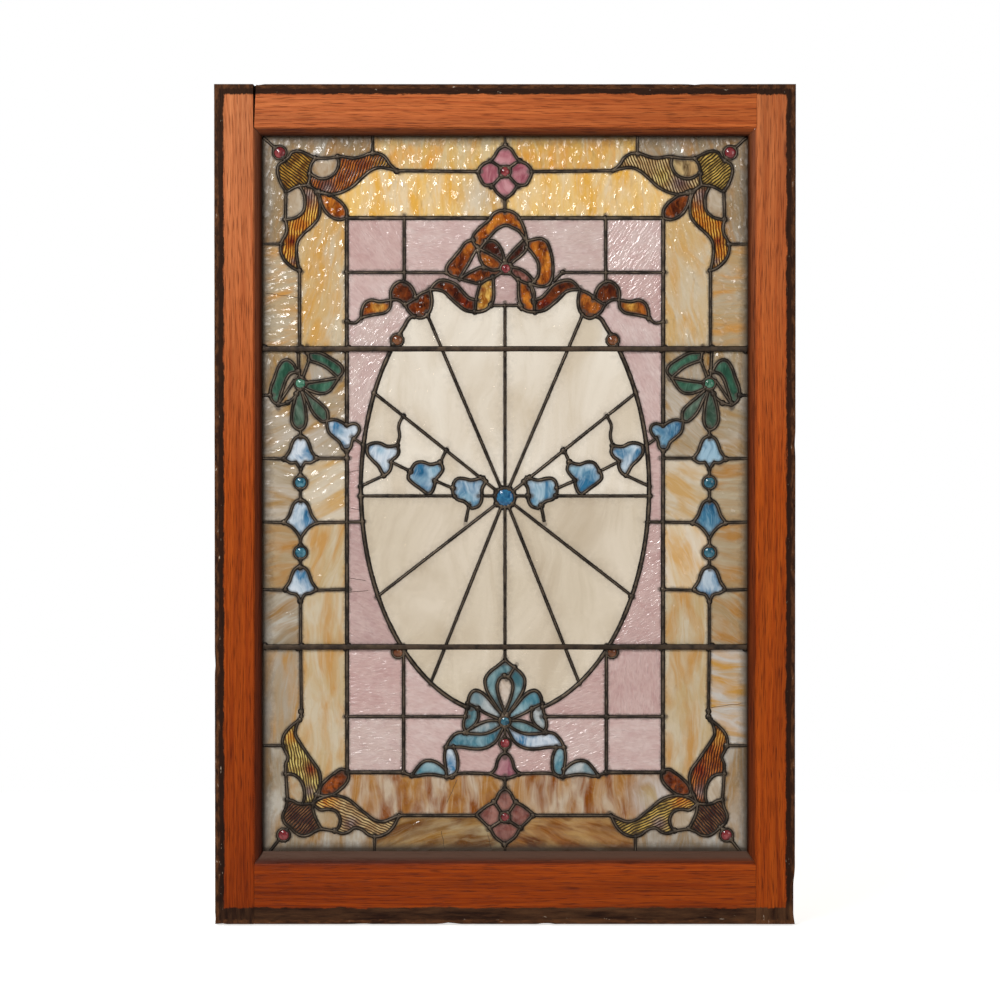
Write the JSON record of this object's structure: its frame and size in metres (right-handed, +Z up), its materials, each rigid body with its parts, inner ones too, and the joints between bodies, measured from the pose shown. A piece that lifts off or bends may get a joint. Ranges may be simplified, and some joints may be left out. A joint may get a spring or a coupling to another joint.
{
  "type": "stained glass window",
  "caption": "Leaded stained glass window in an oak sash: ribbon corners, bellflower swags, quatrefoils, a spoked oval in a pink border, two support bars.",
  "frame": {"origin": "middle of the underside of the bottom rail, halfway through the sash's depth", "axes": "+Z up along the stiles, +X across the window to the viewer's right, -Y out of the decorated face"},
  "size_m": [0.737, 0.035, 1.066],
  "materials": {
    "oak": "old worn varnish, dark at the outer edges",
    "lead": "dull oxidised lead with soldered joints",
    "zinc": "dull grey bars",
    "putty": "old dry putty",
    "amber_glass": "streaky opalescent sheet",
    "pink_glass": "pale rippled sheet",
    "clear_glass": "rippled clear sheet"
  },
  "bodies": {
    "root": {"amber_pane_bottom_inner_left": "amber_glass", "amber_pane_bottom_inner_right": "amber_glass", "amber_pane_bottom_outer_left": "amber_glass", "amber_pane_bottom_outer_right": "amber_glass", "amber_pane_bow_outer_left": "amber_glass", "amber_pane_bow_outer_right": "amber_glass", "amber_pane_lower_row_inner_left": "amber_glass", "amber_pane_lower_row_inner_right": "amber_glass", "amber_pane_lower_row_outer_left": "amber_glass", "amber_pane_lower_row_outer_right": "amber_glass", "amber_pane_middle_row_inner_left": "amber_glass", "amber_pane_middle_row_inner_right": "amber_glass", "amber_pane_middle_row_outer_left": "amber_glass", "amber_pane_middle_row_outer_right": "amber_glass", "amber_pane_side_inner_lower_left": "amber_glass", "amber_pane_side_inner_lower_right": "amber_glass", "amber_pane_side_inner_upper_left": "amber_glass", "amber_pane_side_inner_upper_right": "amber_glass", "amber_pane_side_outer_lower_left": "amber_glass", "amber_pane_side_outer_lower_right": "amber_glass", "amber_pane_side_outer_upper_left": "amber_glass", "amber_pane_side_outer_upper_right": "amber_glass", "amber_pane_top_inner_left": "amber_glass", "amber_pane_top_inner_right": "amber_glass", "amber_pane_top_outer_left": "amber_glass", "amber_pane_top_outer_right": "amber_glass", "amber_pane_upper_row_inner_left": "amber_glass", "amber_pane_upper_row_inner_right": "amber_glass", "amber_pane_upper_row_outer_left": "amber_glass", "amber_pane_upper_row_outer_right": "amber_glass", "bottom_rail": "oak", "clear_pane_lower_inner_left": "clear_glass", "clear_pane_lower_inner_right": "clear_glass", "clear_pane_lower_outer_left": "clear_glass", "clear_pane_lower_outer_right": "clear_glass", "clear_pane_middle_left": "clear_glass", "clear_pane_middle_right": "clear_glass", "clear_pane_upper_inner_left": "clear_glass", "clear_pane_upper_inner_right": "clear_glass", "clear_pane_upper_outer_left": "clear_glass", "clear_pane_upper_outer_right": "clear_glass", "glazing_putty": "putty", "lead_came_network": "lead", "left_stile": "oak", "lower_support_bar": "zinc", "pink_pane_bottom_corner_left": "pink_glass", "pink_pane_bottom_corner_right": "pink_glass", "pink_pane_bottom_outer_left": "pink_glass", "pink_pane_bottom_outer_right": "pink_glass", "pink_pane_column_lower_left": "pink_glass", "pink_pane_column_lower_right": "pink_glass", "pink_pane_column_upper_left": "pink_glass", "pink_pane_column_upper_right": "pink_glass", "pink_pane_top_inner_left": "pink_glass", "pink_pane_top_inner_right": "pink_glass", "pink_pane_top_outer_left": "pink_glass", "pink_pane_top_outer_right": "pink_glass", "right_stile": "oak", "top_rail": "oak", "upper_support_bar": "zinc"}
  },
  "joints": []
}
